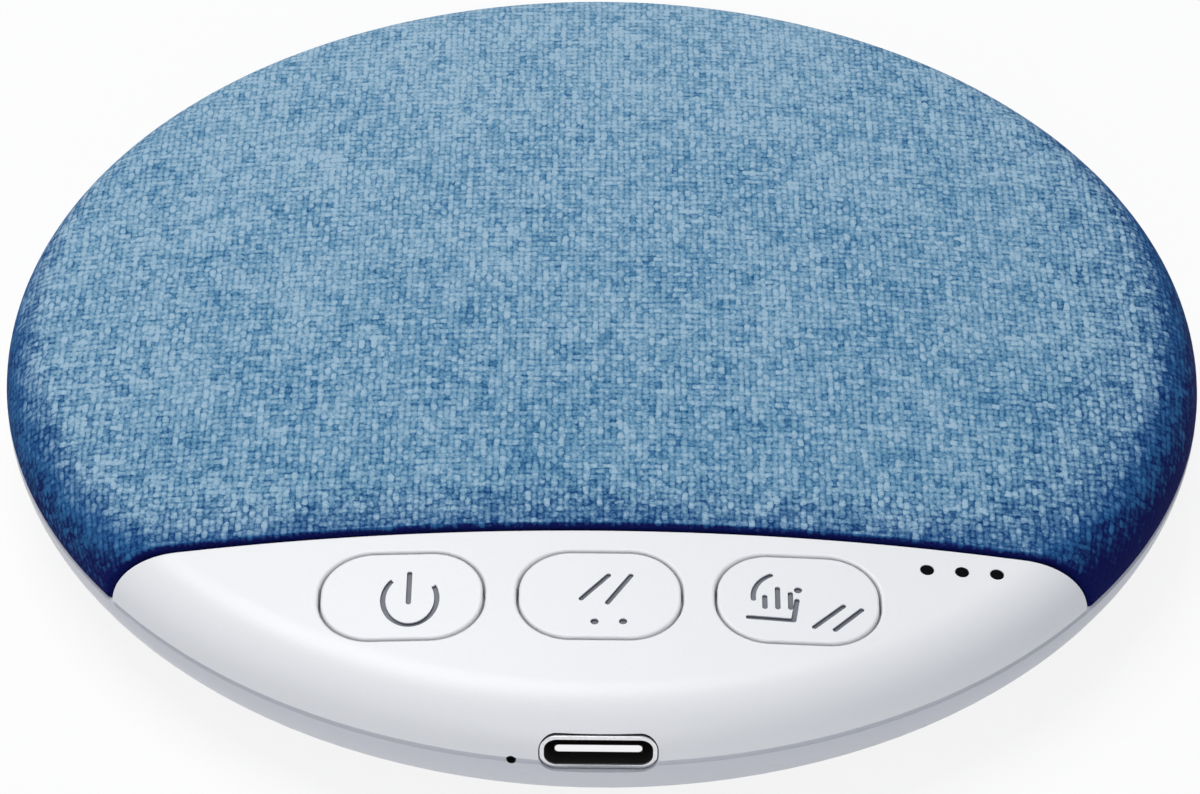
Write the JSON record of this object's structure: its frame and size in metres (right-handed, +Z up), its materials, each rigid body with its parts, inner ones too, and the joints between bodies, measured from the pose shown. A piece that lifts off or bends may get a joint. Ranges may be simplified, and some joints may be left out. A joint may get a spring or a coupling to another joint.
{
  "type": "white noise sound machine",
  "caption": "Flat round sound machine with a cloth-covered speaker dome, a plastic control panel with push keys and indicator lights, a USB-C charging port and rubber feet.",
  "frame": {"origin": "on the supporting surface, under the centre of the disc", "axes": "+Z up, thinnest way; the control panel and the port face -Y; +X to the right of a viewer who faces the control panel"},
  "size_m": [0.1, 0.0999, 0.015],
  "materials": {
    "base_plastic": "fine satin moulding",
    "panel_plastic": "fine satin moulding",
    "key_plastic": "fine satin moulding, dark filled symbols",
    "blue_cloth": "heathered blue weave",
    "grille_plastic": "matt",
    "window_plastic": "smoked, polished",
    "lamp_plastic": "moulded lamp",
    "switch_plastic": "black moulding",
    "plunger_plastic": "moulded",
    "bright_steel": "stamped, nickel plated",
    "port_plastic": "moulded",
    "contact_metal": "gold plated",
    "board": "solder-masked laminate",
    "small_board": "solder-masked laminate",
    "chip": "moulded epoxy",
    "can": "drawn can",
    "capacitor": "fired",
    "connector": "natural nylon",
    "tape": "double-sided tape",
    "pouch": "laminated pouch",
    "wire_red": "silicone insulation",
    "wire_black": "silicone insulation",
    "foam": "closed-cell foam",
    "speaker_steel": "zinc plated",
    "basket": "moulded",
    "coil": "lacquered winding",
    "cone_paper": "pressed pulp",
    "surround": "soft roll",
    "screw": "zinc plated",
    "feet": "soft pads"
  },
  "bodies": {
    "case": {"base_shell": "base_plastic", "control_panel": "panel_plastic", "fabric_cover": "blue_cloth", "grille_dome": "grille_plastic", "light_guide": "window_plastic", "indicator_lamps": "lamp_plastic", "switch_housings": "switch_plastic", "usb_shell": "bright_steel", "usb_tongue": "port_plastic", "usb_contacts": "contact_metal", "main_board": "board", "battery_board": "small_board", "speaker_terminal": "small_board", "processor": "chip", "flash_memory": "chip", "amplifier": "chip", "charging_chip": "chip", "inductor": "chip", "wireless_module": "can", "microphone": "can", "capacitors": "capacitor", "battery_socket": "connector", "speaker_socket": "connector", "battery_plug": "connector", "speaker_plug": "connector", "battery_tape": "tape", "battery_cell": "pouch", "battery_lead_red": "wire_red", "speaker_lead_red": "wire_red", "battery_lead_black": "wire_black", "speaker_lead_black": "wire_black", "speaker_pad": "foam", "speaker_gasket": "foam", "speaker_yoke": "speaker_steel", "speaker_magnet": "speaker_steel", "pole_plate": "speaker_steel", "speaker_basket": "basket", "speaker_surround": "surround", "case_screws": "screw", "panel_screws": "screw", "speaker_screws": "screw", "board_screws": "screw", "rubber_feet": "feet"},
    "power_key": {"power_button": "key_plastic", "power_plunger": "plunger_plastic"},
    "sound_key": {"sound_button": "key_plastic", "sound_plunger": "plunger_plastic"},
    "track_key": {"track_button": "key_plastic", "track_plunger": "plunger_plastic"},
    "cone": {"speaker_cone": "cone_paper", "voice_coil": "coil", "dust_cap": "cone_paper"}
  },
  "joints": [
    {"name": "power_press", "type": "slide", "parent": "case", "child": "power_key", "axis": [0, 0, -1], "range_m": [0, 0.00035], "stiffness_N_per_m": 5000},
    {"name": "sound_press", "type": "slide", "parent": "case", "child": "sound_key", "axis": [0, 0, -1], "range_m": [0, 0.00035], "stiffness_N_per_m": 5000},
    {"name": "track_press", "type": "slide", "parent": "case", "child": "track_key", "axis": [0, 0, -1], "range_m": [0, 0.00035], "stiffness_N_per_m": 5000},
    {"name": "cone_travel", "type": "slide", "parent": "case", "child": "cone", "axis": [0, 0, 1], "range_m": [-0.0004, 0.0004], "stiffness_N_per_m": 1500, "deforming": ["speaker_surround"]}
  ]
}
